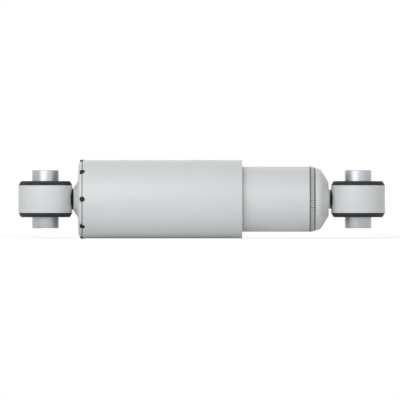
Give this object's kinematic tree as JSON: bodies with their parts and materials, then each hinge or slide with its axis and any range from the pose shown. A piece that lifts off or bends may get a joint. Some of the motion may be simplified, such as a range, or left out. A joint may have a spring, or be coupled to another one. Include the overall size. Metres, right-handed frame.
{
  "type": "shock absorber",
  "caption": "Twin-tube hydraulic shock absorber with a dust cover and a rubber-bushed eye at each end; it slides in and out, spins about its axis and twists in its bushes.",
  "frame": {"origin": "centre of the rod eye's bore, at the dust cover end", "axes": "+X along the damper to the base eye's centre, +Z along the bores of both eyes, closed length at rest"},
  "size_m": [0.422, 0.0912, 0.0912],
  "materials": {
    "grey_enamel": "stove-enamelled light grey",
    "black_rubber": "moulded, matt",
    "zinc_plate": "bright zinc plate",
    "weld_metal": "dark bare weld",
    "hard_chrome": "ground hard chrome",
    "machined_steel": "turned and oiled",
    "spring_steel": "blued spring steel",
    "sintered_iron": "steam-treated sintered iron",
    "drawn_steel": "cold drawn, honed bore",
    "filled_ptfe": "bronze-filled PTFE",
    "nitrile_rubber": "moulded nitrile rubber"
  },
  "bodies": {
    "rod_eye_pivot": {"rod_eye_sleeve": "zinc_plate"},
    "rod_assembly": {"rod_eye_ring": "grey_enamel", "rod_eye_bush": "black_rubber", "rod_eye_weld": "weld_metal", "dust_cap": "grey_enamel", "dust_cover": "grey_enamel", "cover_spot_welds": "weld_metal", "piston_rod": "hard_chrome", "rebound_bumper": "black_rubber", "rebound_stop": "machined_steel", "rebound_snap_ring": "spring_steel", "piston_stop_washer": "machined_steel", "piston_star_spring": "spring_steel", "piston": "sintered_iron", "rebound_spring": "spring_steel", "piston_nut": "machined_steel"},
    "piston_check_valve": {"piston_check_plate": "machined_steel"},
    "rebound_valve": {"rebound_disc_1": "spring_steel", "rebound_disc_2": "spring_steel", "rebound_disc_3": "spring_steel", "rebound_spring_plate": "machined_steel"},
    "piston_ring": {"piston_band": "filled_ptfe"},
    "cylinder": {"reservoir_tube": "grey_enamel", "rod_wiper": "nitrile_rubber", "seal_cover": "machined_steel", "rod_seal": "nitrile_rubber", "seal_garter_spring": "spring_steel", "rod_guide": "sintered_iron", "rod_guide_bush": "filled_ptfe", "guide_o_ring": "nitrile_rubber", "pressure_tube": "drawn_steel", "base_valve_bolt": "machined_steel", "base_stop_washer": "machined_steel", "base_star_spring": "spring_steel", "base_valve_body": "sintered_iron", "base_compression_disc_1": "spring_steel", "base_compression_disc_2": "spring_steel", "base_compression_disc_3": "spring_steel", "base_backing_washer": "machined_steel", "base_valve_nut": "machined_steel", "base_cap": "grey_enamel", "base_seam_weld": "grey_enamel", "base_eye_weld": "weld_metal", "base_eye_ring": "grey_enamel", "base_eye_bush": "black_rubber"},
    "base_intake_valve": {"base_check_plate": "machined_steel"},
    "base_eye_pivot": {"base_eye_sleeve": "zinc_plate"}
  },
  "joints": [
    {"name": "rod_eye_twist", "type": "hinge", "parent": "rod_eye_pivot", "child": "rod_assembly", "pos_m": [0, 0, 0], "axis": [0, 0, 1], "range_deg": [-15, 15], "stiffness_Nm_per_rad": 80},
    {"name": "rod_spin", "type": "hinge", "parent": "rod_assembly", "child": "piston_ring", "pos_m": [0, 0, 0], "axis": [1, 0, 0], "continuous": true},
    {"name": "stroke", "type": "slide", "parent": "piston_ring", "child": "cylinder", "axis": [1, 0, 0], "range_m": [0, 0.15]},
    {"name": "base_eye_twist", "type": "hinge", "parent": "cylinder", "child": "base_eye_pivot", "pos_m": [0.36, 0, 0], "axis": [0, 0, 1], "range_deg": [-15, 15], "stiffness_Nm_per_rad": 80},
    {"name": "piston_check_lift", "type": "slide", "parent": "rod_assembly", "child": "piston_check_valve", "axis": [-1, 0, 0], "range_m": [0, 0.0012], "stiffness_N_per_m": 2000, "springref_m": -0.0005, "deforming": ["piston_star_spring"]},
    {"name": "rebound_valve_lift", "type": "slide", "parent": "rod_assembly", "child": "rebound_valve", "axis": [1, 0, 0], "range_m": [0, 0.0015], "stiffness_N_per_m": 16000, "springref_m": -0.004, "deforming": ["rebound_spring"]},
    {"name": "base_intake_lift", "type": "slide", "parent": "cylinder", "child": "base_intake_valve", "axis": [-1, 0, 0], "range_m": [0, 0.0012], "stiffness_N_per_m": 1000, "springref_m": -0.0005, "deforming": ["base_star_spring"]}
  ]
}
